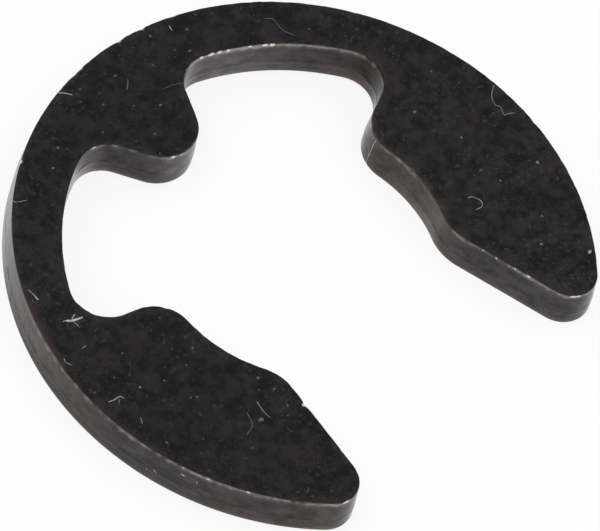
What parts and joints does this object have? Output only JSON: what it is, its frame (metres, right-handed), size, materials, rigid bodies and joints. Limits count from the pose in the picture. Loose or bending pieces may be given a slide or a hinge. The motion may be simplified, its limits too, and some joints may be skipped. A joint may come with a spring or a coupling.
{
  "type": "e-clip",
  "caption": "Flat e-clip blanked from spring steel, with inner grip lands and a flared mouth, pushed sideways into the groove of a shaft to hold a part in place along it.",
  "frame": {"origin": "on the axis of the shaft groove that the clip grips, in the plane of its lower face", "axes": "+Z along the shaft and up out of the upper face, -Y out of the mouth, the way the clip is pulled off its shaft, and X from arm to arm"},
  "size_m": [0.0138, 0.0121, 0.0011],
  "materials": {
    "oxide_steel": "satin"
  },
  "bodies": {
    "root": {"e_clip": "oxide_steel"}
  },
  "joints": []
}
